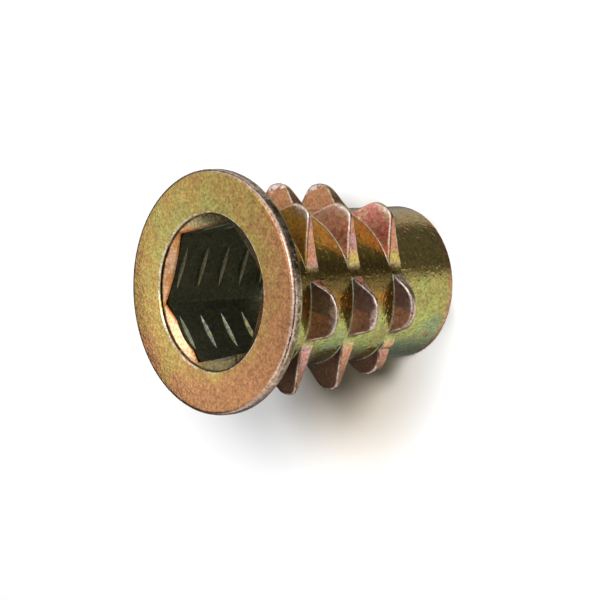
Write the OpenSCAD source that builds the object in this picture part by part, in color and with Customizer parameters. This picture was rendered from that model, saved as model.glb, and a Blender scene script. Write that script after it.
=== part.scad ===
// Flanged threaded insert for wood, hexagon drive, die cast in zinc as one piece.
// It stands on its tip end: +Z runs up the axis to the flange face, origin at the tip end's centre.
// The mould parts on the XZ plane and opens along Y, which gives the ridges their two kinds.

/* [Overall] */
// Length from the tip end to the flange face
total_length = 12; // [10.5:0.1:16]

/* [Flange] */
// Diameter of the flange
flange_d = 11.2; // [10.4:0.1:14]
// Thickness of the flange at its rim
flange_t = 0.6; // [0.4:0.05:1.2]
// Bevel on both edges of the flange's rim
rim_bevel = 0.1; // [0.02:0.01:0.15]

/* [Barrel] */
// Diameter of the plain barrel between the ridges
barrel_d = 7.15; // [7:0.05:7.6]
// Bevel on the barrel's tip edge
tip_bevel = 0.08; // [0.02:0.01:0.3]
// Radial size of the bevelled neck where the barrel meets the flange
neck_bevel = 0.15; // [0.05:0.05:0.4]

/* [Outer thread] */
// Diameter over the ridges' crests
crest_d = 9.76; // [9:0.02:10.2]
// Rise of the thread in one turn
pitch = 2.6; // [2.3:0.05:2.8]
// Width of a ridge where it leaves the barrel
ridge_root_w = 0.78; // [0.6:0.02:1.1]
// Width of a ridge at its crest
ridge_crest_w = 0.22; // [0.1:0.02:0.4]
// Height of the lowest ridge's crest above the tip end
first_ridge_z = 2.13; // [1.6:0.01:2.6]
// Least height from the highest ridge's crest to the flange's underside
top_clear = 1.4; // [1:0.1:3]
// Number of ridges over which the crest grows to full height, counted from the tip
fade_ridges = 5; // [1:1:8]
// Radius of the dome that tops each ridge's outline, seen along the axis
crown_r = 1.3; // [1.2:0.05:1.6]
// Height of that dome as a share of its radius
crown_share = 0.7; // [0.5:0.05:0.9]
// How far the dome leans to the steeper end, as a share of the ends' own lean
crown_lean = 0.2; // [0:0.05:0.4]

/* [Ridge ends] */
// Half of the arc that a ridge on the parting plane takes on the barrel, in degrees
parting_half_arc = 22.5; // [18:0.5:24]
// Slope of that ridge's two ends, in degrees from its centre line
parting_end_slope = 28; // [15:1:40]
// Arc of every other ridge on the side of the mould's opening direction, in degrees
inner_arc = 24.5; // [18:0.5:26]
// Slope of that end, in degrees from the ridge's centre line
inner_end_slope = 27.5; // [15:0.5:40]
// Arc of every other ridge on the side of the parting plane, in degrees
outer_arc = 31; // [26:0.5:33]
// Slope of that end, in degrees from the ridge's centre line
outer_end_slope = 41.5; // [30:0.5:48]

/* [Hexagon socket] */
// Size across the flats
hex_af = 6; // [5.6:0.1:6.1]
// Angle from the parting plane to the nearest corner
hex_turn = 24.5; // [0:0.5:60]
// Depth of the socket below the flange face
hex_depth = 6; // [4:0.1:8]
// Diameter of the round recess in the flange face
recess_d = 7.16; // [7.06:0.02:8]
// Depth of the recess at its wall
recess_depth = 0.25; // [0.1:0.05:0.6]
// Further fall of the recess's floor towards the socket's flats
recess_dish = 0.12; // [0.05:0.01:0.4]

/* [Screw hole] */
// Diameter of the hole, which is the inner diameter of its screw thread
bore_d = 5.15; // [4.4:0.05:5.5]
// Outer diameter of the bevel at the hole's mouth in the tip end
mouth_d = 6.35; // [6:0.05:6.5]

/* [Hidden] */
$fn = 96;
ridges_per_turn = 6;
ridge_kinds = 3;                            // one on the parting plane and two between
hex_sides = 6;
ridge_step = 360 / ridges_per_turn;         // angle from one ridge to the next
ridge_rise = pitch / ridges_per_turn;       // rise from one ridge to the next
under_z = total_length - flange_t;          // height of the flange's underside
ridge_count = 1 + floor((under_z - top_clear - first_ridge_z) / ridge_rise);
barrel_r = barrel_d / 2;
crest_r = crest_d / 2;
lead_angle = atan(pitch / (PI * (barrel_d + crest_d) / 2));
bury = 0.4;                                 // how far a ridge runs on into the barrel's wall
over = 0.5;                                 // how far a cutting shape stands past a face
ridge_draft = (ridge_root_w - ridge_crest_w) / 2 / (crest_r - barrel_r);

// The height of ridge i above the barrel, as a share of the full height
function growth(i) = min(1, (i + 1) / fade_ridges);

// A point at a given radius and angle
function polar(r, a) = [r * cos(a), r * sin(a)];

// Where the two ends of a ridge, leaving the barrel at angles a and -b with slopes p and q
// from the centre line, would meet
function meeting(a, p, b, q) =
    let (u = polar(barrel_r, a), v = polar(barrel_r, -b),
         x = (u[1] - v[1] + u[0] * tan(p) + v[0] * tan(q)) / (tan(p) + tan(q)))
    [x, u[1] - (x - u[0]) * tan(p)];

// Two sloping ends under a dome: the outline of one ridge seen along the axis, its middle on +X
module ridge_outline(a, p, b, q, top_r) {
    u = polar(barrel_r, a);
    v = polar(barrel_r, -b);
    top = meeting(a, p, b, q);
    intersection() {
        polygon([u - bury * [1, -tan(p)], v - bury * [1, tan(q)], v, top, u]);
        union() {
            translate([top_r - crown_r, top[1] * crown_lean]) circle(r = crown_r);
            translate([0, -crest_r]) square([top_r - crown_share * crown_r, 2 * crest_r]);
        }
    }
}

// A ring sector with the ridge's tapered section, its middle on +X, leaning with the thread
module ridge_sector(top_r) {
    reach = bury + top_r - barrel_r;
    crest_w = ridge_crest_w + 2 * ridge_draft * (crest_r - top_r);
    foot_w = ridge_crest_w + 2 * ridge_draft * (crest_r - barrel_r + bury);
    rotate([lead_angle, 0, 0])
        rotate([0, 0, -ridge_step])
            rotate_extrude(angle = 2 * ridge_step)
                polygon([
                    [top_r - reach, -foot_w / 2], [top_r, -crest_w / 2],
                    [top_r, crest_w / 2], [top_r - reach, foot_w / 2]
                ]);
}

// One ridge: the sector, cut to the outline
module ridge(a, p, b, q, top_r) {
    intersection() {
        ridge_sector(top_r);
        translate([0, 0, -pitch / 2])
            linear_extrude(pitch) ridge_outline(a, p, b, q, top_r);
    }
}

// Ridge i of the thread. Every third one lies on the parting plane; of the two between,
// each turns its steeper end to the mould's opening direction.
module placed_ridge(i) {
    top_r = barrel_r + (crest_r - barrel_r) * growth(i);
    kind = i % ridge_kinds;
    translate([0, 0, first_ridge_z + i * ridge_rise])
        rotate([0, 0, 180 + i * ridge_step])
            if (kind == 0)
                ridge(parting_half_arc, parting_end_slope,
                      parting_half_arc, parting_end_slope, top_r);
            else if (kind == 1)
                ridge(inner_arc, inner_end_slope, outer_arc, outer_end_slope, top_r);
            else
                ridge(outer_arc, outer_end_slope, inner_arc, inner_end_slope, top_r);
}

// The turned form of the outside: barrel, neck and flange
module body_of_revolution() {
    flange_r = flange_d / 2;
    rotate_extrude()
        polygon([
            [0, 0], [barrel_r - tip_bevel, 0], [barrel_r, tip_bevel],
            [barrel_r, under_z - neck_bevel], [barrel_r + neck_bevel, under_z],
            [flange_r - rim_bevel, under_z], [flange_r, under_z + rim_bevel],
            [flange_r, total_length - rim_bevel], [flange_r - rim_bevel, total_length],
            [0, total_length]
        ]);
}

// The recess, the hexagon socket, the screw hole and the bevel at its mouth
module openings() {
    flat_r = hex_af / 2;
    corner_r = flat_r / cos(180 / hex_sides);
    recess_r = recess_d / 2;
    floor_z = total_length - recess_depth;
    rotate_extrude()
        polygon([
            [0, floor_z - recess_dish], [flat_r, floor_z - recess_dish],
            [recess_r, floor_z], [recess_r, total_length + over], [0, total_length + over]
        ]);
    translate([0, 0, total_length - hex_depth])
        linear_extrude(hex_depth + over) rotate(hex_turn) circle(r = corner_r, $fn = hex_sides);
    translate([0, 0, -over]) cylinder(d = bore_d, h = total_length + over);
    mouth_depth = (mouth_d - bore_d) / 2;
    translate([0, 0, -over])
        cylinder(d1 = mouth_d + 2 * over, d2 = bore_d, h = mouth_depth + over);
}

module threaded_insert() {
    color("#b39a4e")
        difference() {
            union() {
                body_of_revolution();
                for (i = [0 : ridge_count - 1]) placed_ridge(i);
            }
            openings();
        }
}

threaded_insert();
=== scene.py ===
"""Threaded insert for wood, die cast in zinc and yellow chromated, with its floor, light and camera.

The insert stands on its tip end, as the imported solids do. Sizes in the geometry tree are in
millimetres and degrees; one of the tree's last steps scales it to metres.
"""

from math import cos, pi, radians, sin, tan

import bpy
from mathutils import Matrix, Vector


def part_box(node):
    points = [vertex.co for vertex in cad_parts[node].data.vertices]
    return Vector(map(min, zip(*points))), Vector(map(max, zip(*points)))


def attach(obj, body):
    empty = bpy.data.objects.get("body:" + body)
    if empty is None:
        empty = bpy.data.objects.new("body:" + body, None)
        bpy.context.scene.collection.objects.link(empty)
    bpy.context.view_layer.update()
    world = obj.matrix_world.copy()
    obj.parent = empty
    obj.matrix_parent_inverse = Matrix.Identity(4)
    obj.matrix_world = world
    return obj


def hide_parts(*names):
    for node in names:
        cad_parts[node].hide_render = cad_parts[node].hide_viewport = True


MM = 0.001
MATH = "ShaderNodeMath"
VECTOR = "ShaderNodeCombineXYZ"
MIX = "ShaderNodeMix"
RANGE = "ShaderNodeMapRange"
COLOUR = {"out": 2, "data_type": "RGBA"}
SMOOTH = {"interpolation_type": "SMOOTHSTEP"}

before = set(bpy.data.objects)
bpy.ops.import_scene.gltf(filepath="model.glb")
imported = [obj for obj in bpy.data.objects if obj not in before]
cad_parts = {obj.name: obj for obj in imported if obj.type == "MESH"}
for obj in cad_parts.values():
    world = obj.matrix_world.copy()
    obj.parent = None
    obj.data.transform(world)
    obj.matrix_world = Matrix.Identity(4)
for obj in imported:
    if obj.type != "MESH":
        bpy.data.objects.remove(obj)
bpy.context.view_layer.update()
low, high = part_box("threaded_insert")
LENGTH = (high.z - low.z) / MM
FLANGE_R = (high.x - low.x) / 2 / MM

# Directions are (azimuth, elevation) in degrees, as seen from the part: azimuth 0 looks from the
# -Y side, and 90 from +X. Lengths are in millimetres.
CAMERA_SIDE = (108.30, 42.35)
CAMERA_ROLL = -93.68
CAMERA_DISTANCE = 154.47
CAMERA_AIM = (-0.363, -0.753, 6.0)
CAMERA_LENS = 198.48
LAMP_DISTANCE = 260
FLOOR_CORNERS = 96


def towards(azimuth, elevation):
    """The unit vector from the part towards a side."""
    a, e = radians(azimuth), radians(elevation)
    return Vector((sin(a) * cos(e), -cos(a) * cos(e), sin(e)))


def looking(place, aim, roll=0.0):
    """The matrix of a camera or light at a place in millimetres, looking at another."""
    back = (Vector(place) - Vector(aim)).normalized()
    right = Vector((0, 0, 1)).cross(back).normalized()
    turn = Matrix((right, back.cross(right), back)).transposed()
    turn = turn @ Matrix.Rotation(radians(roll), 3, "Z")
    return Matrix.Translation(Vector(place) * MM) @ turn.to_4x4()


camera = bpy.data.objects.new("camera", bpy.data.cameras.new("camera"))
camera.data.lens = CAMERA_LENS
camera.data.clip_start = 0.002
camera.data.clip_end = 20
place = Vector(CAMERA_AIM) + CAMERA_DISTANCE * towards(*CAMERA_SIDE)
camera.matrix_world = looking(place, CAMERA_AIM, CAMERA_ROLL)
bpy.context.collection.objects.link(camera)
bpy.context.scene.camera = camera

# Sizes in millimetres and degrees, as the insert's maker would list them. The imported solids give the
# first two. The growth is for each ridge above the fading ones, and the dome's share is of its radius.
SIZES = {
    "Length": LENGTH,
    "Flange radius": FLANGE_R,
    "Flange thickness": 0.6,
    "Rim radius": 0.2,
    "Rim radius below": 0.1,
    "Barrel radius": 3.575,
    "Neck radius": 0.18,
    "Tip edge radius": 0.08,
    "Crest radius": 4.88,
    "Pitch": 2.6,
    "First ridge": 2.13,
    "Root width": 0.78,
    "Crest width": 0.2,
    "Crest rounding": 0.15,
    "Root fillet": 0.07,
    "Dome radius": 1.3,
    "Dome share": 0.7,
    "Outline softness": 0.28,
    "End softness": 0.05,
    "Growth per ridge": 0.013,
    "Mould draft": 3.0,
    "Seam height": 0.015,
    "Recess radius": 3.58,
    "Recess depth": 0.19,
    "Recess dish": 0.18,
    "Recess lip": 0.07,
    "Hexagon flats": 6.0,
    "Hexagon depth": 6.0,
    "Hexagon turn": 24.5,
    "Hexagon corner rounding": 0.08,
    "Bore radius": 2.575,
    "Mouth radius": 3.175,
    "Screw thread radius": 3.16,
    "Screw thread flat": 0.24,
    "Screw thread pitch": 1.27,
    "Screw thread turn": 61.0,
}
COUNTS = {
    "Ridges": 19,
    "Fading ridges": 5,
    "Columns in a turn": 288,
    "Steps in a leg": 4,
}

RIDGE_STEP = 60.0         # degrees from one ridge to the next along the helix
RUN_IN = 8                # blank steps of the helix below the first ridge, to reach the tip's edge
RUN_OUT = 6               # and above the last one, to reach the neck
LEGS = 5                  # stretches of a ridge's section: crest, edge, flank, foot, barrel
LEG_TRIM = 0.15           # cut from both ends of a straight leg's run, to bring its rows nearer to them
MOST_ROUNDING = 0.45      # largest rounding of a ridge's edge or foot, as a share of its height
SEAM_HALF_ARC = 1.9       # degrees over which the mould's seam falls to the barrel
BAND_CLEAR = 0.2          # from the tip's and neck's rounded corners to the winding band
RECESS_ROUNDING = 0.04    # rounding of the recess's inner corner and of its lip
OVER = 0.5                # how far a cutter stands past a face
TAP_BACK = 0.25           # how far the tap reaches back into the open hole
TAP_STEPS = 96            # points in one turn of the tap's helix
WELD = 0.002              # points closer than this are one
CREASE = 32               # edges that bend by more degrees than this shade sharp

# How a ridge ends on each side, in degrees: where it leaves the barrel, and its slope there.
# Ridges on the mould's parting plane start alike on both sides, and grow fuller and a little lopsided
# towards the flange. The two ends of those between differ.
PARTING_END = (24.0, 25.0)
FULL_END_UP = (22.0, 12.0)
FULL_END_DOWN = (26.0, 21.0)
INNER_END = (24.5, 21.0)
OUTER_END = (31.0, 41.5)
FILLING_RIDGES = 10       # ridges above the fading ones over which those on the parting plane fill out
SIDE_DOME_LEAN = 1.0      # degrees from the middle of a ridge between to the middle of its dome
SIDE_FROM = 27.0          # degrees from the parting plane beyond which a ridge is one between
LEAST_SINE = 0.05         # keeps a ridge's end line finite where it runs off to the side


def add(tree, kind, inputs=(), out=0, items=0, **settings):
    """Adds one node, links or sets its inputs, and returns one of its outputs, or all where out is None."""
    node = tree.nodes.new(kind)
    for name, value in settings.items():
        setattr(node, name, value)
    for _ in range(items):
        node.index_switch_items.new()
    pairs = inputs.items() if isinstance(inputs, dict) else enumerate(inputs)
    for socket, value in pairs:
        for one in value if isinstance(value, list) else [value]:
            if isinstance(one, bpy.types.NodeSocket):
                tree.links.new(one, node.inputs[socket])
            elif one is not None:
                node.inputs[socket].default_value = one
    return node.outputs if out is None else node.outputs[out]


def ridge_outline(tree, size, turn, index):
    """Radius of the ridges' outline at an angle along the helix: two sloping ends under a dome."""
    # Angle from the parting plane, 0 to 90 degrees: the pattern mirrors in both of the mould's planes
    away = add(tree, MATH, (turn, 90.0), operation="PINGPONG")
    side = add(tree, MATH, (away, SIDE_FROM), operation="GREATER_THAN")
    aside = add(tree, MATH, (away, RIDGE_STEP), operation="SUBTRACT")
    along = add(tree, MATH, (index, -RIDGE_STEP, turn), operation="MULTIPLY_ADD")
    angle = add(tree, MIX, {0: side, 2: along, 3: aside})
    late = add(tree, MATH, (index, size["Fading ridges"]), operation="SUBTRACT")
    late = add(tree, MATH, (late, 0.0), operation="MAXIMUM")
    share = add(tree, MATH, (late, 1 / FILLING_RIDGES), operation="MULTIPLY")
    share = add(tree, MATH, (share, share), operation="MULTIPLY")
    ends = []
    for sign, (arc, slope), (full_arc, full_slope) in (
        (1, INNER_END, FULL_END_UP), (-1, OUTER_END, FULL_END_DOWN),
    ):
        own_arc = add(tree, MIX, {0: share, 2: PARTING_END[0], 3: full_arc})
        own_arc = add(tree, MIX, {0: side, 2: own_arc, 3: arc})
        own_slope = add(tree, MIX, {0: share, 2: PARTING_END[1], 3: full_slope})
        own_slope = add(tree, MIX, {0: side, 2: own_slope, 3: slope})
        root = add(tree, MATH, (own_arc, own_slope), operation="ADD")
        root = add(tree, MATH, (add(tree, MATH, (root,), operation="RADIANS"),), operation="SINE")
        here = add(tree, MATH, (angle, sign, own_slope), operation="MULTIPLY_ADD")
        here = add(tree, MATH, (add(tree, MATH, (here,), operation="RADIANS"),), operation="SINE")
        here = add(tree, MATH, (here, LEAST_SINE), operation="MAXIMUM")
        reach = add(tree, MATH, (root, here), operation="DIVIDE")
        ends.append(add(tree, MATH, (reach, size["Barrel radius"]), operation="MULTIPLY"))
    ends = add(tree, MATH, (*ends, size["Outline softness"]), operation="SMOOTH_MIN")

    # The dome: a circle whose top is at the ridge's own height, which grows from the tip upward
    grown = add(tree, MATH, (index, 1.0), operation="ADD")
    grown = add(tree, MATH, (grown, size["Fading ridges"]), operation="DIVIDE")
    grown = add(tree, MATH, (grown, 1.0), operation="MINIMUM")
    full = add(tree, MATH, (size["Crest radius"], size["Barrel radius"]), operation="SUBTRACT")
    top = add(tree, MATH, (full, grown, size["Barrel radius"]), operation="MULTIPLY_ADD")
    top = add(tree, MATH, (late, size["Growth per ridge"], top), operation="MULTIPLY_ADD")
    middle = add(tree, MATH, (top, size["Dome radius"]), operation="SUBTRACT")
    lean = add(tree, MATH, (side, -SIDE_DOME_LEAN, angle), operation="MULTIPLY_ADD")
    lean = add(tree, MATH, (lean,), operation="RADIANS")
    along = add(tree, MATH, (lean,), operation="COSINE")
    across = add(tree, MATH, (lean,), operation="SINE")
    foot = add(tree, MATH, (across, middle), operation="MULTIPLY")
    foot = add(tree, MATH, (foot, foot), operation="MULTIPLY")
    square = add(tree, MATH, (size["Dome radius"], size["Dome radius"]), operation="MULTIPLY")
    rest = add(tree, MATH, (square, foot), operation="SUBTRACT")
    rest = add(tree, MATH, (add(tree, MATH, (rest, 0.0), operation="MAXIMUM"),), operation="SQRT")
    circle = add(tree, MATH, (along, middle, rest), operation="MULTIPLY_ADD")
    sunk = add(tree, MATH, (size["Dome radius"], size["Dome share"]), operation="MULTIPLY")
    chord = add(tree, MATH, (add(tree, MATH, (top, sunk), operation="SUBTRACT"), along), operation="DIVIDE")
    dome = add(tree, MATH, (circle, chord), operation="MAXIMUM")
    outline = add(tree, MATH, (ends, dome, size["Outline softness"]), operation="SMOOTH_MIN")

    # No ridge before the first or after the last
    began = add(tree, MATH, (index, -0.5), operation="GREATER_THAN")
    last = add(tree, MATH, (size["Ridges"], 0.5), operation="SUBTRACT")
    lasting = add(tree, MATH, (index, last), operation="LESS_THAN")
    outline = add(tree, MATH, (outline, began), operation="MULTIPLY")
    return add(tree, MATH, (outline, lasting), operation="MULTIPLY"), angle, side


def ridge_section(tree, size, height, root_half, step):
    """A point of a ridge's section: (distance along the axis from its middle, height above the barrel)."""
    lead = [add(tree, RANGE, (step, leg, leg + 1.0)) for leg in range(LEGS)]
    # Straight legs keep a row of faces close to each end, so that the rounded edges shade cleanly
    for leg in (0, 2, 4):
        lead[leg] = add(tree, RANGE, (lead[leg], LEG_TRIM, 1 - LEG_TRIM))
    full = add(tree, MATH, (size["Crest radius"], size["Barrel radius"]), operation="SUBTRACT")
    taper = add(tree, MATH, (size["Root width"], size["Crest width"]), operation="SUBTRACT")
    taper = add(tree, MATH, (add(tree, MATH, (taper, 0.5), operation="MULTIPLY"), full), operation="DIVIDE")
    drawn_in = add(tree, MATH, (taper, height), operation="MULTIPLY")
    top_half = add(tree, MATH, (root_half, drawn_in), operation="SUBTRACT")
    most = add(tree, MATH, (height, MOST_ROUNDING), operation="MULTIPLY")
    edge = add(tree, MATH, (size["Crest rounding"], most), operation="MINIMUM")
    foot = add(tree, MATH, (size["Root fillet"], most), operation="MINIMUM")
    top_in = add(tree, MATH, (top_half, size["Crest rounding"]), operation="SUBTRACT")
    top_in = add(tree, MATH, (top_in, 0.0), operation="MAXIMUM")
    edge_x = add(tree, MATH, (edge, taper, top_half), operation="MULTIPLY_ADD")
    edge_y = add(tree, MATH, (height, edge), operation="SUBTRACT")
    foot_in = add(tree, MATH, (foot, taper), operation="MULTIPLY")
    foot_in = add(tree, MATH, (root_half, foot_in), operation="SUBTRACT")
    foot_out = add(tree, MATH, (root_half, size["Root fillet"]), operation="ADD")
    half_pitch = add(tree, MATH, (size["Pitch"], 0.5), operation="MULTIPLY")

    middle = add(tree, VECTOR, (0.0, height))
    edge_start = add(tree, VECTOR, (top_in, height))
    edge_corner = add(tree, VECTOR, (top_half, height))
    edge_end = add(tree, VECTOR, (edge_x, edge_y))
    foot_start = add(tree, VECTOR, (foot_in, foot))
    foot_corner = add(tree, VECTOR, (root_half, 0.0))
    foot_end = add(tree, VECTOR, (foot_out, 0.0))
    barrel_end = add(tree, VECTOR, (half_pitch, 0.0))

    rounds = []
    for t, start, corner, end in (
        (lead[1], edge_start, edge_corner, edge_end),
        (lead[3], foot_start, foot_corner, foot_end),
    ):
        first = add(tree, MIX, {0: t, 4: start, 5: corner}, out=1, data_type="VECTOR")
        second = add(tree, MIX, {0: t, 4: corner, 5: end}, out=1, data_type="VECTOR")
        rounds.append(add(tree, MIX, {0: t, 4: first, 5: second}, out=1, data_type="VECTOR"))
    point = add(tree, MIX, {0: lead[0], 4: middle, 5: rounds[0]}, out=1, data_type="VECTOR")
    point = add(tree, MIX, {0: lead[2], 4: point, 5: rounds[1]}, out=1, data_type="VECTOR")
    return add(tree, MIX, {0: lead[4], 4: point, 5: barrel_end}, out=1, data_type="VECTOR")


def ridged_barrel(tree, size, low_z, high_z):
    """The barrel with its broken thread: one band that winds up it, each turn joined to the last."""
    steps = add(tree, MATH, (size["Ridges"], RUN_IN + RUN_OUT), operation="ADD")
    angle_span = add(tree, MATH, (steps, RIDGE_STEP), operation="MULTIPLY")
    columns = add(tree, MATH, (size["Columns in a turn"], RIDGE_STEP / 360), operation="MULTIPLY")
    columns = add(tree, MATH, (columns, steps, 1.0), operation="MULTIPLY_ADD")
    rows = add(tree, MATH, (size["Steps in a leg"], 2 * LEGS, 1.0), operation="MULTIPLY_ADD")
    band = add(tree, "GeometryNodeMeshGrid", (angle_span, 2.0 * LEGS, columns, rows))
    x, y, _ = add(tree, "ShaderNodeSeparateXYZ", (add(tree, "GeometryNodeInputPosition"),), out=None)

    half_span = add(tree, MATH, (angle_span, 0.5), operation="MULTIPLY")
    turn = add(tree, MATH, (x, half_span), operation="ADD")
    turn = add(tree, MATH, (turn, RUN_IN * RIDGE_STEP), operation="SUBTRACT")
    index = add(tree, MATH, (turn, RIDGE_STEP), operation="DIVIDE")
    index = add(tree, MATH, (index, 0.5), operation="ADD")
    index = add(tree, MATH, (index,), operation="FLOOR")
    outline, angle, side = ridge_outline(tree, size, turn, index)
    radius = add(tree, MATH, (outline, size["Barrel radius"], size["End softness"]), operation="SMOOTH_MAX")
    height = add(tree, MATH, (radius, size["Barrel radius"]), operation="SUBTRACT")

    # The mould's draft thins a ridge on the parting plane towards both ends
    bend = add(tree, MATH, (add(tree, MATH, (angle,), operation="RADIANS"),), operation="SINE")
    bend = add(tree, MATH, (add(tree, MATH, (bend,), operation="ABSOLUTE"), size["Barrel radius"]),
               operation="MULTIPLY")
    draft = add(tree, MATH, (size["Mould draft"],), operation="RADIANS")
    draft = add(tree, MATH, (draft,), operation="TANGENT")
    thinned = add(tree, MATH, (bend, draft), operation="MULTIPLY")
    parting = add(tree, MATH, (1.0, side), operation="SUBTRACT")
    thinned = add(tree, MATH, (thinned, parting), operation="MULTIPLY")
    root_half = add(tree, MATH, (size["Root width"], 0.5), operation="MULTIPLY")
    root_half = add(tree, MATH, (root_half, thinned), operation="SUBTRACT")

    step = add(tree, MATH, (y,), operation="ABSOLUTE")
    point = ridge_section(tree, size, height, root_half, step)
    beside, above, _ = add(tree, "ShaderNodeSeparateXYZ", (point,), out=None)
    offset = add(tree, MATH, (beside, add(tree, MATH, (y,), operation="SIGN")), operation="MULTIPLY")
    radius = add(tree, MATH, (above, size["Barrel radius"]), operation="ADD")
    rise = add(tree, MATH, (turn, 1 / 360), operation="MULTIPLY")
    rise = add(tree, MATH, (rise, size["Pitch"], size["First ridge"]), operation="MULTIPLY_ADD")
    z = add(tree, MATH, (rise, offset), operation="ADD")
    z = add(tree, "ShaderNodeClamp", (z, low_z, high_z))

    # The seam that the mould's halves leave along their parting plane, dressed off at the tip and neck
    away = add(tree, MATH, (turn, 90.0), operation="PINGPONG")
    seam = add(tree, RANGE, (away, 0.0, SEAM_HALF_ARC, size["Seam height"], 0.0))
    above_tip = add(tree, MATH, (z, low_z), operation="GREATER_THAN")
    below_neck = add(tree, MATH, (z, high_z), operation="LESS_THAN")
    standing = add(tree, MATH, (above_tip, below_neck), operation="MULTIPLY")
    radius = add(tree, MATH, (seam, standing, radius), operation="MULTIPLY_ADD")
    around = add(tree, MATH, (add(tree, MATH, (turn, 180.0), operation="ADD"),), operation="RADIANS")
    spun = add(tree, "ShaderNodeVectorRotate",
               {0: add(tree, VECTOR, (radius, 0.0, z)), 3: around}, rotation_type="Z_AXIS")
    return add(tree, "GeometryNodeSetPosition", {0: band, 2: spun})


def turned(tree, size, corners, segments):
    """A turned surface. Each corner is its distance from the axis, its height and its rounding."""
    spots, radii = [], []
    for r, z, rounding in corners:
        # The path that carries the profile is a ring of radius 1, and lays the profile's Y downward
        spots.append(add(tree, VECTOR, (add(tree, MATH, (r, 1.0), operation="SUBTRACT"),
                                        add(tree, MATH, (z, -1.0), operation="MULTIPLY"))))
        radii.append(rounding)
    index = add(tree, "GeometryNodeInputIndex")
    more = len(corners) - 2
    spot = add(tree, "GeometryNodeIndexSwitch", (index, *spots), items=more, data_type="VECTOR")
    radius = add(tree, "GeometryNodeIndexSwitch", (index, *radii), items=more, data_type="FLOAT")
    line = add(tree, "GeometryNodeMeshLine", (len(corners),))
    line = add(tree, "GeometryNodeSetPosition", {0: line, 2: spot})
    line = add(tree, "GeometryNodeMeshToCurve", (line,))
    line = add(tree, "GeometryNodeFilletCurve", (line, size["Steps in a leg"], radius), mode="POLY")
    ring = add(tree, "GeometryNodeCurvePrimitiveCircle", {0: segments, 4: 1.0})
    return add(tree, "GeometryNodeFlipFaces", (add(tree, "GeometryNodeCurveToMesh", (ring, line)),))


def socket_and_hole(tree, size, segments):
    """What is cut away: recess, hexagon, screw hole with its bevelled mouth, and the screw thread."""
    floor = add(tree, MATH, (size["Length"], size["Recess depth"]), operation="SUBTRACT")
    dish = add(tree, MATH, (floor, size["Recess dish"]), operation="SUBTRACT")
    flat = add(tree, MATH, (size["Hexagon flats"], 0.5), operation="MULTIPLY")
    above = add(tree, MATH, (size["Length"], OVER), operation="ADD")
    lip_z = add(tree, MATH, (size["Length"], size["Recess lip"]), operation="SUBTRACT")
    lip_r = add(tree, MATH, (size["Recess radius"], size["Recess lip"]), operation="ADD")
    mouth_z = add(tree, MATH, (size["Mouth radius"], size["Bore radius"]), operation="SUBTRACT")
    mouth_out = add(tree, MATH, (size["Mouth radius"], OVER), operation="ADD")
    round_cut = turned(tree, size, (
        (0.0, -OVER, 0.0), (mouth_out, -OVER, 0.0), (size["Bore radius"], mouth_z, 0.0),
        (size["Bore radius"], dish, 0.0), (flat, dish, 0.0),
        (size["Recess radius"], floor, RECESS_ROUNDING), (size["Recess radius"], lip_z, RECESS_ROUNDING),
        (lip_r, size["Length"], 0.0), (lip_r, above, 0.0), (0.0, above, 0.0),
    ), segments)
    round_cut = add(tree, "GeometryNodeMergeByDistance", {0: round_cut, 2: WELD})

    corner = add(tree, MATH, (flat, cos(pi / 6)), operation="DIVIDE")
    hexagon = add(tree, "GeometryNodeCurvePrimitiveCircle", {0: 6, 4: corner})
    hexagon = add(tree, "GeometryNodeFilletCurve",
                  (hexagon, size["Steps in a leg"], size["Hexagon corner rounding"]), mode="POLY")
    turn = add(tree, VECTOR, (0.0, 0.0, add(tree, MATH, (size["Hexagon turn"],), operation="RADIANS")))
    hexagon = add(tree, "GeometryNodeTransform", {0: hexagon, 2: turn})
    bottom = add(tree, MATH, (size["Length"], size["Hexagon depth"]), operation="SUBTRACT")
    upright = add(tree, "GeometryNodeCurvePrimitiveLine",
                  {0: add(tree, VECTOR, (0.0, 0.0, bottom)), 1: add(tree, VECTOR, (0.0, 0.0, above))})
    hexagon = add(tree, "GeometryNodeCurveToMesh", {0: upright, 1: hexagon, 3: True})

    # The tap: a vee of 60 degrees swept along the screw's helix
    depth = add(tree, MATH, (size["Screw thread radius"], size["Bore radius"]), operation="SUBTRACT")
    deep = add(tree, MATH, (depth, TAP_BACK), operation="ADD")
    base = add(tree, MATH, (deep, 2 * tan(pi / 6), size["Screw thread flat"]), operation="MULTIPLY_ADD")
    vee = add(tree, "GeometryNodeCurvePrimitiveQuadrilateral",
              {1: deep, 2: base, 3: size["Screw thread flat"], 4: 0.0}, mode="TRAPEZOID")
    centre = add(tree, MATH, (deep, 0.5, -TAP_BACK), operation="MULTIPLY_ADD")
    vee = add(tree, "GeometryNodeTransform",
              {0: vee, 1: add(tree, VECTOR, (centre,)), 2: (0.0, 0.0, -pi / 2)})
    tall = add(tree, MATH, (size["Length"], 2 * OVER), operation="ADD")
    turns = add(tree, MATH, (tall, size["Screw thread pitch"]), operation="DIVIDE")
    helix = add(tree, "GeometryNodeCurveSpiral",
                (TAP_STEPS, turns, size["Bore radius"], size["Bore radius"], tall, True))
    helix = add(tree, "GeometryNodeSetCurveNormal", (helix,), mode="Z_UP")
    thread = add(tree, "GeometryNodeCurveToMesh", {0: helix, 1: vee, 3: True})
    turn = add(tree, VECTOR, (0.0, 0.0, add(tree, MATH, (size["Screw thread turn"],), operation="RADIANS")))
    thread = add(tree, "GeometryNodeTransform", {0: thread, 1: (0.0, 0.0, -OVER), 2: turn})
    return [round_cut, hexagon, thread]


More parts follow.
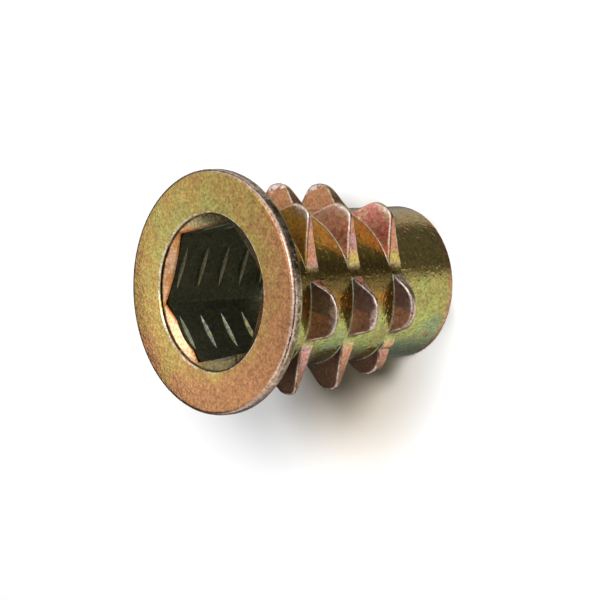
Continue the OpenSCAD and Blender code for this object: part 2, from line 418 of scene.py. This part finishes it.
def insert_tree(material):
    """The whole insert as one geometry tree, from its named sizes."""
    tree = bpy.data.node_groups.new("threaded insert", "GeometryNodeTree")
    for name in SIZES:
        tree.interface.new_socket(name, in_out="INPUT", socket_type="NodeSocketFloat")
    for name in COUNTS:
        tree.interface.new_socket(name, in_out="INPUT", socket_type="NodeSocketInt")
    tree.interface.new_socket("Insert", in_out="OUTPUT", socket_type="NodeSocketGeometry")
    size = add(tree, "NodeGroupInput", out=None)
    segments = size["Columns in a turn"]

    low_z = add(tree, MATH, (size["Tip edge radius"], BAND_CLEAR), operation="ADD")
    under = add(tree, MATH, (size["Length"], size["Flange thickness"]), operation="SUBTRACT")
    neck = add(tree, MATH, (size["Neck radius"], BAND_CLEAR), operation="ADD")
    high_z = add(tree, MATH, (under, neck), operation="SUBTRACT")
    barrel = ridged_barrel(tree, size, low_z, high_z)
    tip = turned(tree, size, (
        (0.0, 0.0, 0.0), (size["Barrel radius"], 0.0, size["Tip edge radius"]),
        (size["Barrel radius"], low_z, 0.0),
    ), segments)
    flange = turned(tree, size, (
        (size["Barrel radius"], high_z, 0.0), (size["Barrel radius"], under, size["Neck radius"]),
        (size["Flange radius"], under, size["Rim radius below"]),
        (size["Flange radius"], size["Length"], size["Rim radius"]), (0.0, size["Length"], 0.0),
    ), segments)
    shell = add(tree, "GeometryNodeJoinGeometry", ([barrel, tip, flange],))
    shell = add(tree, "GeometryNodeMergeByDistance", {0: shell, 2: WELD})
    cut = add(tree, "GeometryNodeMeshBoolean",
              {0: shell, 1: socket_and_hole(tree, size, segments)},
              solver="MANIFOLD", operation="DIFFERENCE")
    cut = add(tree, "GeometryNodeSetShadeSmooth", {0: cut, 2: True})
    bend = add(tree, "GeometryNodeInputMeshEdgeAngle")
    sharp = add(tree, MATH, (bend, radians(CREASE)), operation="GREATER_THAN")
    cut = add(tree, "GeometryNodeSetShadeSmooth", (cut, sharp, False), domain="EDGE")
    cut = add(tree, "GeometryNodeTransform", {0: cut, 3: (MM, MM, MM)})
    cut = add(tree, "GeometryNodeRealizeInstances", (cut,))
    cut = add(tree, "GeometryNodeSetMaterial", {0: cut, 2: material})
    add(tree, "NodeGroupOutput", (cut,), out=None)
    return tree


def build_insert(material):
    """Evaluates the tree once and keeps the result as a plain mesh."""
    insert = bpy.data.objects.new("insert_body", bpy.data.meshes.new("insert_body"))
    bpy.context.collection.objects.link(insert)
    modifier = insert.modifiers.new("threaded insert", "NODES")
    modifier.node_group = insert_tree(material)
    values = SIZES | COUNTS
    for socket in modifier.node_group.interface.items_tree:
        if socket.name in values:
            modifier[socket.identifier] = values[socket.name]
    graph = bpy.context.evaluated_depsgraph_get()
    mesh = bpy.data.meshes.new_from_object(insert.evaluated_get(graph))
    insert.modifiers.remove(modifier)
    insert.data = mesh
    mesh.name = "insert_body"
    return insert


def from_hex(text):
    """A linear colour from an sRGB hex value."""
    parts = (int(text[i:i + 2], 16) / 255 for i in (1, 3, 5))
    return (*(p / 12.92 if p <= 0.04045 else ((p + 0.055) / 1.055) ** 2.4 for p in parts), 1.0)


def yellow_chromate():
    """Zinc, die cast, tumbled and dipped in yellow chromate.

    The film is a few tenths of a micrometre thick and shows interference colours, which drift with its
    thickness: straw and green on open faces, pink and orange where it drained, lilac on edges. The
    casting's skin under it has a grain of about a tenth of a millimetre, which the film keeps.
    """
    material = bpy.data.materials.new("yellow chromate on cast zinc")
    material.use_nodes = True
    tree = material.node_tree
    tree.nodes.clear()
    place = add(tree, "ShaderNodeTexCoord", out=None)
    mm = add(tree, "ShaderNodeVectorMath", {0: place["Object"], 3: 1 / MM}, operation="SCALE")
    x, y, z = add(tree, "ShaderNodeSeparateXYZ", (mm,), out=None)
    facing = add(tree, "ShaderNodeSeparateXYZ", (place["Normal"],), out=None)
    radius = add(tree, "ShaderNodeVectorMath", {0: add(tree, VECTOR, (x, y))}, out=1, operation="LENGTH")
    steep = add(tree, MATH, (facing[2],), operation="ABSOLUTE")

    barrel_r = SIZES["Barrel radius"]
    recess_r = SIZES["Recess radius"]
    flat_r = SIZES["Hexagon flats"] / 2
    under = LENGTH - SIZES["Flange thickness"]

    # Patterns: drift of the film over 3 mm, clouds of 1.1 mm, mottling of 0.35 mm, the casting's grain
    # of 0.13 mm, and other clouds of 1.6 mm, read elsewhere so that they don't follow the rest
    drift = add(tree, "ShaderNodeTexNoise", {0: mm, 2: 1 / 3.0, 3: 2.0, 4: 0.5})
    clouds = add(tree, "ShaderNodeTexNoise", {0: mm, 2: 1 / 1.1, 3: 3.0, 4: 0.6})
    mottle = add(tree, "ShaderNodeTexNoise", {0: mm, 2: 1 / 0.35, 3: 3.0, 4: 0.65})
    grain = add(tree, "ShaderNodeTexNoise", {0: mm, 2: 1 / 0.13, 3: 2.0, 4: 0.6})
    elsewhere = add(tree, "ShaderNodeVectorMath", {0: mm, 1: (17.0, 31.0, 5.0)}, operation="ADD")
    other = add(tree, "ShaderNodeTexNoise", {0: elsewhere, 2: 1 / 1.6, 3: 3.0, 4: 0.6})

    # Barrel: yellow green with olive clouds, grey green drifts and orange spots, browner on the +Y side,
    # and orange at the tip
    share = add(tree, RANGE, (clouds, 0.40, 0.62), **SMOOTH)
    barrel = add(tree, MIX, {0: share, 6: from_hex("#B4BA68"), 7: from_hex("#AEA460")}, **COLOUR)
    share = add(tree, MATH, (y, -0.06, drift), operation="MULTIPLY_ADD")
    share = add(tree, RANGE, (share, 0.6, 0.76), **SMOOTH)
    barrel = add(tree, MIX, {0: share, 6: barrel, 7: from_hex("#96A474")}, **COLOUR)
    share = add(tree, RANGE, (y, 0.6, 1.6), **SMOOTH)
    barrel = add(tree, MIX, {0: share, 6: barrel, 7: from_hex("#B09C5E")}, **COLOUR)
    share = add(tree, MATH, (mottle, 0.8, z), operation="MULTIPLY_ADD")
    share = add(tree, RANGE, (share, 0.85, 0.4), **SMOOTH)
    barrel = add(tree, MIX, {0: share, 6: barrel, 7: from_hex("#C08A62")}, **COLOUR)
    share = add(tree, RANGE, (other, 0.57, 0.74), **SMOOTH)
    barrel = add(tree, MIX, {0: share, 6: barrel, 7: from_hex("#B5804C")}, **COLOUR)
    # Between the ridges of the +Y side it turns orange, then brown, then straw; the brown is painted shade
    share = add(tree, MATH, (mottle, 1.2, y), operation="MULTIPLY_ADD")
    painted_shade_brown = add(tree, RANGE, (share, 1.1, 1.5), **SMOOTH)
    between = add(tree, MIX, {0: painted_shade_brown, 6: from_hex("#B4823C"), 7: from_hex("#7A6638")}, **COLOUR)
    paler = add(tree, RANGE, (y, 1.8, 2.8), **SMOOTH)
    between = add(tree, MIX, {0: paler, 6: between, 7: from_hex("#BCA650")}, **COLOUR)
    share = add(tree, RANGE, (share, 0.1, 1.0), **SMOOTH)
    share = add(tree, MATH, (share, add(tree, RANGE, (z, 3.4, 3.9), **SMOOTH)), operation="MULTIPLY")
    barrel = add(tree, MIX, {0: share, 6: barrel, 7: between}, **COLOUR)

    # Flanks of the ridges: golden near the flange and pink towards the tip, painted dark brown on the -Y
    # side as shade, and tan on the -X side
    share = add(tree, MATH, (other, 3.0, z), operation="MULTIPLY_ADD")
    share = add(tree, RANGE, (share, 8.4, 10.6), **SMOOTH)
    flank = add(tree, MIX, {0: share, 6: from_hex("#E8B4A0"), 7: from_hex("#F0BC60")}, **COLOUR)
    share = add(tree, RANGE, (clouds, 0.5, 0.66), **SMOOTH)
    flank = add(tree, MIX, {0: share, 6: flank, 7: from_hex("#D48C98")}, **COLOUR)
    share = add(tree, MATH, (z, -0.06, mottle), operation="MULTIPLY_ADD")
    share = add(tree, RANGE, (share, 0.08, 0.28), **SMOOTH)
    flank = add(tree, MIX, {0: share, 6: flank, 7: from_hex("#DC8E80")}, **COLOUR)
    share = add(tree, RANGE, (mottle, 0.46, 0.36), **SMOOTH)
    flank = add(tree, MIX, {0: share, 6: flank, 7: from_hex("#F0CAA0")}, **COLOUR)
    # Painted shade: the flanks turn dark brown towards the -Y side
    share = add(tree, MATH, (clouds, 1.5, y), operation="MULTIPLY_ADD")
    share = add(tree, RANGE, (share, 3.0, -2.5), **SMOOTH)
    flank = add(tree, MIX, {0: share, 6: flank, 7: from_hex("#745542")}, **COLOUR)
    share = add(tree, RANGE, (x, 0.3, -1.2), **SMOOTH)
    flank = add(tree, MIX, {0: share, 6: flank, 7: from_hex("#B27F5A")}, **COLOUR)
    # Towards their tops they are worn pale in streaks
    worn = add(tree, MATH, (mottle, 0.9, radius), operation="MULTIPLY_ADD")
    worn = add(tree, RANGE, (worn, 5.0, 5.24), **SMOOTH)
    worn = add(tree, MATH, (worn, add(tree, RANGE, (y, -2.6, -1.9))), operation="MULTIPLY")
    # Ridges on the parting plane: their two halves are painted grey brown and red brown, lit and shaded
    # copies standing in for the different light their drafted flanks catch
    share = add(tree, RANGE, (y, 0.05, -0.05))
    upper = add(tree, RANGE, (z, 8.2, 9.0))
    redder = add(tree, MIX, {0: upper, 6: from_hex("#AC7D67"), 7: from_hex("#DCA084")}, **COLOUR)
    lit_and_shaded_halves = add(tree, MIX, {0: share, 6: from_hex("#9A8880"), 7: redder}, **COLOUR)
    off_plane = add(tree, MATH, (y,), operation="ABSOLUTE")
    share = add(tree, RANGE, (off_plane, 1.85, 1.7))
    flank = add(tree, MIX, {0: share, 6: flank, 7: lit_and_shaded_halves}, **COLOUR)
    flank = add(tree, MIX, {0: worn, 6: flank, 7: from_hex("#F2DCD4")}, **COLOUR)
    share = add(tree, RANGE, (steep, 0.3, 0.7), **SMOOTH)
    colour = add(tree, MIX, {0: share, 6: barrel, 7: flank}, **COLOUR)

    # Crests: pink, orange and lilac; on one side they turn yellow green where they run down. They are
    # painted darker on the -Y side as shade, and paler on the +Y side as a highlight
    share = add(tree, RANGE, (clouds, 0.46, 0.68), **SMOOTH)
    crest = add(tree, MIX, {0: share, 6: from_hex("#D09472"), 7: from_hex("#CC9CA0")}, **COLOUR)
    low_end = add(tree, MATH, (y, 0.04, 3.6), operation="MULTIPLY_ADD")
    low_end = add(tree, MATH, (radius, low_end), operation="SUBTRACT")
    share = add(tree, RANGE, (low_end, 0.05, 0.3), **SMOOTH)
    share = add(tree, MATH, (share, add(tree, RANGE, (z, 7.8, 8.4))), operation="MAXIMUM")
    crest = add(tree, MIX, {0: share, 6: from_hex("#D2B868"), 7: crest}, **COLOUR)
    # Painted shade on the -Y side, then a painted highlight on the +Y side
    share = add(tree, RANGE, (y, -2.2, -3.6), **SMOOTH)
    crest = add(tree, MIX, {0: share, 6: crest, 7: from_hex("#9C6A50")}, **COLOUR)
    share = add(tree, RANGE, (y, 3.9, 4.4), **SMOOTH)
    crest = add(tree, MIX, {0: share, 6: crest, 7: from_hex("#F0CE96")}, **COLOUR)
    share = add(tree, RANGE, (off_plane, 2.0, 1.85))
    crest = add(tree, MIX, {0: share, 6: crest, 7: from_hex("#D2B69C")}, **COLOUR)
    share = add(tree, RANGE, (low_end, -0.1, 0.0), **SMOOTH)
    above_barrel = add(tree, RANGE, (radius, barrel_r + 0.01, barrel_r + 0.045))
    share = add(tree, MATH, (share, above_barrel), operation="MULTIPLY")
    low_down = add(tree, RANGE, (steep, 0.7, 0.3), **SMOOTH)
    share = add(tree, MATH, (share, low_down), operation="MULTIPLY")
    colour = add(tree, MIX, {0: share, 6: colour, 7: crest}, **COLOUR)

    # The ridges' rounded edges are pale, partly tumbling wear and partly a painted highlight, and a painted
    # grey green highlight runs along their roots
    edge = add(tree, RANGE, (steep, 0.2, 0.42), **SMOOTH)
    edge = add(tree, MATH, (edge, add(tree, RANGE, (steep, 0.93, 0.8), **SMOOTH)), operation="MULTIPLY")
    edge = add(tree, MATH, (edge, add(tree, RANGE, (mottle, 0.4, 0.55, 0.25, 1.0))), operation="MULTIPLY")
    share = add(tree, RANGE, (radius, barrel_r + 0.275, barrel_r + 0.425))
    share = add(tree, MATH, (share, edge), operation="MULTIPLY")
    colour = add(tree, MIX, {0: share, 6: colour, 7: from_hex("#E6D0BE")}, **COLOUR)
    # Painted highlight along the root fillets
    share = add(tree, RANGE, (radius, barrel_r + 0.175, barrel_r + 0.125))
    share = add(tree, MATH, (share, edge), operation="MULTIPLY")
    colour = add(tree, MIX, {0: share, 6: colour, 7: from_hex("#93A184")}, **COLOUR)

    # Flange face: old gold, greenish round the recess on one side and pink towards the rim on the other
    lean = add(tree, MATH, (x, -0.05, 0.2), operation="MULTIPLY_ADD")
    lean = add(tree, MATH, (y, 0.04, lean), operation="MULTIPLY_ADD")
    lean = add(tree, MATH, (radius, -0.2, lean), operation="MULTIPLY_ADD")
    lean = add(tree, MATH, (other, 1.2, lean), operation="MULTIPLY_ADD")
    lean = add(tree, MATH, (mottle, 0.7, lean), operation="MULTIPLY_ADD")
    share = add(tree, RANGE, (lean, 0.0, 0.45), **SMOOTH)
    face = add(tree, MIX, {0: share, 6: from_hex("#C68E62"), 7: from_hex("#C4A45E")}, **COLOUR)
    share = add(tree, RANGE, (lean, 0.35, 0.75), **SMOOTH)
    face = add(tree, MIX, {0: share, 6: face, 7: from_hex("#B8AC64")}, **COLOUR)
    # Painted shade: the face darkens towards +X and +Y
    share = add(tree, MATH, (x, -0.05, 1.03), operation="MULTIPLY_ADD")
    share = add(tree, MATH, (y, -0.045, share), operation="MULTIPLY_ADD")
    face = add(tree, "ShaderNodeVectorMath", {0: face, 3: share}, operation="SCALE")
    on_flange = add(tree, RANGE, (z, under - 0.05, under))
    colour = add(tree, MIX, {0: on_flange, 6: colour, 7: face}, **COLOUR)
    # The rim is olive brown, tan on the -Y side, and painted pale along its upper edge and in patches as a
    # highlight
    highlight_patches = add(tree, RANGE, (mottle, 0.42, 0.66), **SMOOTH)
    share = add(tree, RANGE, (y, -3.6, -2.0), **SMOOTH)
    side = add(tree, MIX, {0: share, 6: from_hex("#C89C80"), 7: from_hex("#70603A")}, **COLOUR)
    # Painted highlight along the rim's upper edge and in patches
    share = add(tree, RANGE, (z, LENGTH - 0.3, LENGTH - 0.16), **SMOOTH)
    side = add(tree, MIX, {0: share, 6: side, 7: from_hex("#D6B29E")}, **COLOUR)
    share = add(tree, RANGE, (radius, FLANGE_R - 0.17, FLANGE_R - 0.05), **SMOOTH)
    light = add(tree, MIX, {0: 0.4, 6: side, 7: from_hex("#F2E4D0")}, **COLOUR)
    rim = add(tree, MIX, {0: highlight_patches, 6: side, 7: light}, **COLOUR)
    colour = add(tree, MIX, {0: share, 6: colour, 7: rim}, **COLOUR)
    # Its underside keeps a greyer film
    share = add(tree, RANGE, (z, under + 0.15, under + 0.05), **SMOOTH)
    share = add(tree, MATH, (share, on_flange), operation="MULTIPLY")
    colour = add(tree, MIX, {0: share, 6: colour, 7: from_hex("#A89C7C")}, **COLOUR)
    # The ledge round the hexagon: tan and orange in patches, olive on one side, pale on the other, and
    # brown along the hexagon's edges, where its film ran together
    share = add(tree, RANGE, (mottle, 0.44, 0.58), **SMOOTH)
    share = add(tree, MATH, (share, add(tree, RANGE, (y, -1.2, -0.4))), operation="MULTIPLY")
    ledge = add(tree, MIX, {0: share, 6: from_hex("#E2B28A"), 7: from_hex("#C08450")}, **COLOUR)
    share = add(tree, RANGE, (y, -0.4, -1.4), **SMOOTH)
    share = add(tree, MATH, (share, add(tree, RANGE, (x, -0.7, 0.0), **SMOOTH)), operation="MULTIPLY")
    ledge = add(tree, MIX, {0: share, 6: ledge, 7: from_hex("#8E8058")}, **COLOUR)
    share = add(tree, RANGE, (y, 2.2, 2.8), **SMOOTH)
    ledge = add(tree, MIX, {0: share, 6: ledge, 7: from_hex("#C0B080")}, **COLOUR)
    flats = 0.0
    for from_corner in (30, 90, 150):
        across = radians(SIZES["Hexagon turn"] + from_corner)
        off = add(tree, "ShaderNodeVectorMath", (mm, (cos(across), sin(across), 0.0)), out=1,
                  operation="DOT_PRODUCT")
        off = add(tree, MATH, (off,), operation="ABSOLUTE")
        flats = add(tree, MATH, (off, flats), operation="MAXIMUM")
    share = add(tree, RANGE, (flats, flat_r + 0.16, flat_r + 0.03), **SMOOTH)
    share = add(tree, MATH, (share, add(tree, RANGE, (x, 0.4, -1.2, 0.2, 1.0))), operation="MULTIPLY")
    ledge = add(tree, MIX, {0: share, 6: ledge, 7: from_hex("#A86A34")}, **COLOUR)
    share = add(tree, RANGE, (radius, recess_r + 0.02, recess_r - 0.03))
    share = add(tree, MATH, (share, on_flange), operation="MULTIPLY")
    colour = add(tree, MIX, {0: share, 6: colour, 7: ledge}, **COLOUR)
    # Round the recess, a dark line in its corner, which is painted shade, and a pale one, broken, on its
    # lip, which is a painted highlight
    for middle, width, tint in ((recess_r - 0.01, 0.04, "#7A6644"), (recess_r + 0.06, 0.05, "#E8DCC4")):
        off = add(tree, MATH, (radius, middle), operation="SUBTRACT")
        off = add(tree, MATH, (off,), operation="ABSOLUTE")
        share = add(tree, RANGE, (off, width, width / 2), **SMOOTH)
        share = add(tree, MATH, (share, add(tree, RANGE, (mottle, 0.36, 0.52))), operation="MULTIPLY")
        share = add(tree, MATH, (share, on_flange), operation="MULTIPLY")
        colour = add(tree, MIX, {0: share, 6: colour, 7: from_hex(tint)}, **COLOUR)

    # Socket: a grey olive film that the dip left thick; the tap's cuts through it are bare metal, painted
    # bright as a highlight on the -Y side and dark as shade on the +Y side
    corner_r = flat_r / cos(pi / 6)
    deep = add(tree, RANGE, (z, LENGTH - 0.32, LENGTH - 0.42))
    share = add(tree, RANGE, (radius, corner_r + 0.036, corner_r + 0.006))
    socket = add(tree, MATH, (share, deep), operation="MULTIPLY")
    colour = add(tree, MIX, {0: socket, 6: colour, 7: from_hex("#8E8E76")}, **COLOUR)
    cut = add(tree, RANGE, (steep, 0.4, 0.6))
    cut = add(tree, MATH, (cut, socket), operation="MULTIPLY")
    cut = add(tree, MATH, (cut, add(tree, RANGE, (z, LENGTH - 0.7, LENGTH - 0.8))), operation="MULTIPLY")
    cut = add(tree, MATH, (cut, add(tree, RANGE, (grain, 0.38, 0.6, 0.25, 1.0))), operation="MULTIPLY")
    share = add(tree, RANGE, (mottle, 0.44, 0.56), **SMOOTH)
    cut_highlight_and_shade = add(tree, MIX, {0: share, 6: from_hex("#C4C8D0"), 7: from_hex("#CCC48A")}, **COLOUR)
    # Painted shade on the +Y side, painted highlight on the -Y side
    share = add(tree, RANGE, (y, -0.5, -1.3), **SMOOTH)
    cut_highlight_and_shade = add(tree, MIX, {0: share, 6: from_hex("#5E5436"), 7: cut_highlight_and_shade}, **COLOUR)
    colour = add(tree, MIX, {0: cut, 6: colour, 7: cut_highlight_and_shade}, **COLOUR)

    # The grain darkens and lightens the film in spots
    speckle = add(tree, RANGE, (grain, 0.28, 0.72, 0.62, 1.32))
    blotch = add(tree, RANGE, (mottle, 0.3, 0.7, 0.8, 1.16))
    speckle = add(tree, MATH, (speckle, blotch), operation="MULTIPLY")
    colour = add(tree, "ShaderNodeVectorMath", {0: colour, 3: speckle}, operation="SCALE")

    # Besides the grain, tumbling leaves small nicks, but none inside the hole
    nicks = add(tree, "ShaderNodeTexNoise", {0: mm, 2: 1 / 0.19, 3: 0.0})
    nicks = add(tree, RANGE, (nicks, 0.62, 0.86))
    nicks = add(tree, MATH, (nicks, add(tree, RANGE, (steep, 0.9, 0.2, 0.0, 1.6))), operation="MULTIPLY")
    outside = add(tree, RANGE, (radius, barrel_r - 0.075, barrel_r - 0.025))
    nicks = add(tree, MATH, (nicks, outside), operation="MULTIPLY")
    height = add(tree, MATH, (nicks, grain), operation="ADD")
    bump = add(tree, "ShaderNodeBump", {0: 1.0, 1: 0.010 * MM, 3: height})
    # The flanks are duller than the barrel and the flange, and the socket's thick film is dullest
    roughness = add(tree, RANGE, (mottle, 0.3, 0.7, 0.14, 0.24))
    share = add(tree, RANGE, (steep, 0.3, 0.7), **SMOOTH)
    off_flange = add(tree, MATH, (1.0, on_flange), operation="SUBTRACT")
    share = add(tree, MATH, (share, off_flange), operation="MULTIPLY")
    roughness = add(tree, MIX, {0: share, 2: roughness, 3: 0.38})
    roughness = add(tree, MIX, {0: socket, 2: roughness, 3: 0.5})
    metal = add(tree, "ShaderNodeBsdfPrincipled",
                {"Base Color": colour, "Metallic": 1.0, "Roughness": roughness, "Normal": bump})
    add(tree, "ShaderNodeOutputMaterial", (metal,), out=None)
    return material


def paper_with_painted_shadow():
    """Pale matt paper, with a painted shadow. Close to the part, on its shaded side, it is painted darker
    and warm, standing in for the part's shade and for the light off the chromate.
    """
    material = bpy.data.materials.new("pale matt paper")
    material.use_nodes = True
    tree = material.node_tree
    tree.nodes.clear()
    place = add(tree, "ShaderNodeTexCoord", out=None)["Object"]
    # Painted shadow: the paper is darker and warmer within 7 mm of a spot beside the part
    from_painted_shadow = add(tree, "ShaderNodeVectorMath", (place, (-2.0 * MM, -5.5 * MM, 0.0)), out=1,
              operation="DISTANCE")
    share = add(tree, RANGE, (from_painted_shadow, 0.0, 7.0 * MM), **SMOOTH)
    colour = add(tree, MIX, {0: share, 6: from_hex("#ECDECC"), 7: from_hex("#F2F2F2")}, **COLOUR)
    paper = add(tree, "ShaderNodeBsdfDiffuse", (colour,))
    add(tree, "ShaderNodeOutputMaterial", (paper,), out=None)
    return material


def disc(name, radius, z, material):
    """A flat round piece of floor, sizes in millimetres."""
    mesh = bpy.data.meshes.new(name)
    spots = [radians(360 / FLOOR_CORNERS * i) for i in range(FLOOR_CORNERS)]
    corners = [(radius * MM * cos(a), radius * MM * sin(a), z * MM) for a in spots]
    mesh.from_pydata(corners, [], [range(FLOOR_CORNERS)])
    mesh.materials.append(material)
    obj = bpy.data.objects.new(name, mesh)
    bpy.context.collection.objects.link(obj)
    return obj


def softbox(name, side, size, watts):
    """A square area light of a size in millimetres, on one side of the part."""
    light = bpy.data.lights.new(name, "AREA")
    light.shape = "SQUARE"
    light.size = size * MM
    light.energy = watts
    obj = bpy.data.objects.new(name, light)
    aim = (0, 0, LENGTH / 2)
    obj.matrix_world = looking(Vector(aim) + LAMP_DISTANCE * towards(*side), aim)
    bpy.context.collection.objects.link(obj)
    return obj


def surroundings():
    """The studio that the metal mirrors: a white sweep on one side and an unlit room on the other."""
    world = bpy.data.worlds.new("studio")
    bpy.context.scene.world = world
    world.use_nodes = True
    tree = world.node_tree
    tree.nodes.clear()
    place = add(tree, "ShaderNodeTexCoord", out=None)
    x, y, z = add(tree, "ShaderNodeSeparateXYZ", (place["Generated"],), out=None)
    around = add(tree, MATH, (y, x), operation="ARCTAN2")
    around = add(tree, MATH, (around,), operation="DEGREES")
    # Below the part, degrees round from +X: the sweep, the unlit side and a dimmer one beyond it
    low = add(tree, RANGE, (around, -120, -50, 0.15, 0.95), **SMOOTH)
    share = add(tree, RANGE, (around, 14, 36), **SMOOTH)
    low = add(tree, MIX, {0: share, 2: low, 3: 0.16})
    share = add(tree, RANGE, (around, 106, 122), **SMOOTH)
    low = add(tree, MIX, {0: share, 2: low, 3: 0.65})
    share = add(tree, RANGE, (around, 150, 180), **SMOOTH)
    low = add(tree, MIX, {0: share, 2: low, 3: 0.22})
    # Above it, a pale ceiling that comes down lower on the +Y side, and an unlit room under it
    high_up = add(tree, "ShaderNodeVectorMath", (place["Generated"], (0.0, 0.35, 0.94)), out=1,
                  operation="DOT_PRODUCT")
    up = add(tree, RANGE, (high_up, 0.32, 0.42, 0.08, 0.9), **SMOOTH)
    # Lamps behind cloth: (azimuth, elevation), how much each adds, and its reach in degrees, of which
    # the last few fade out
    fade = 7
    for side, glow, reach in (((139, 56), 2.6, 18), ((255, 64), 1.7, 16), ((7, 14), 0.6, 40)):
        near = add(tree, "ShaderNodeVectorMath", (place["Generated"], towards(*side)), out=1,
                   operation="DOT_PRODUCT")
        outer, inner = cos(radians(reach)), cos(radians(reach - fade))
        lamp = add(tree, RANGE, (near, outer, inner, 0.0, glow), **SMOOTH)
        up = add(tree, MATH, (up, lamp), operation="ADD")

    share = add(tree, RANGE, (z, -0.3, -0.05), **SMOOTH)
    level = add(tree, MIX, {0: share, 2: low, 3: up})
    shader = add(tree, "ShaderNodeBackground", {0: (1.0, 1.0, 1.0, 1.0), 1: level})
    add(tree, "ShaderNodeOutputWorld", (shader,), out=None)
    world.cycles_visibility.diffuse = False


bpy.context.scene.view_settings.view_transform = "Standard"
surroundings()
paper = paper_with_painted_shadow()
# A metal part this small mirrors the studio rather than the paper, all but the patch in its own shade,
# and the lamps light the paper alone
floor = disc("floor", 3000.0, 0.0, paper)
floor.visible_glossy = False
disc("floor_under_part", 2.9, 0.002, paper)
for name, side, size, watts in (
    ("front light", (122, 50), 74, 0.66),
    ("top light", (144, 74), 80, 0.42),
    ("fill light", (0, 90), 600, 0.14),
):
    softbox(name, side, size, watts).visible_glossy = False

insert = build_insert(yellow_chromate())
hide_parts("threaded_insert")
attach(insert, "root")
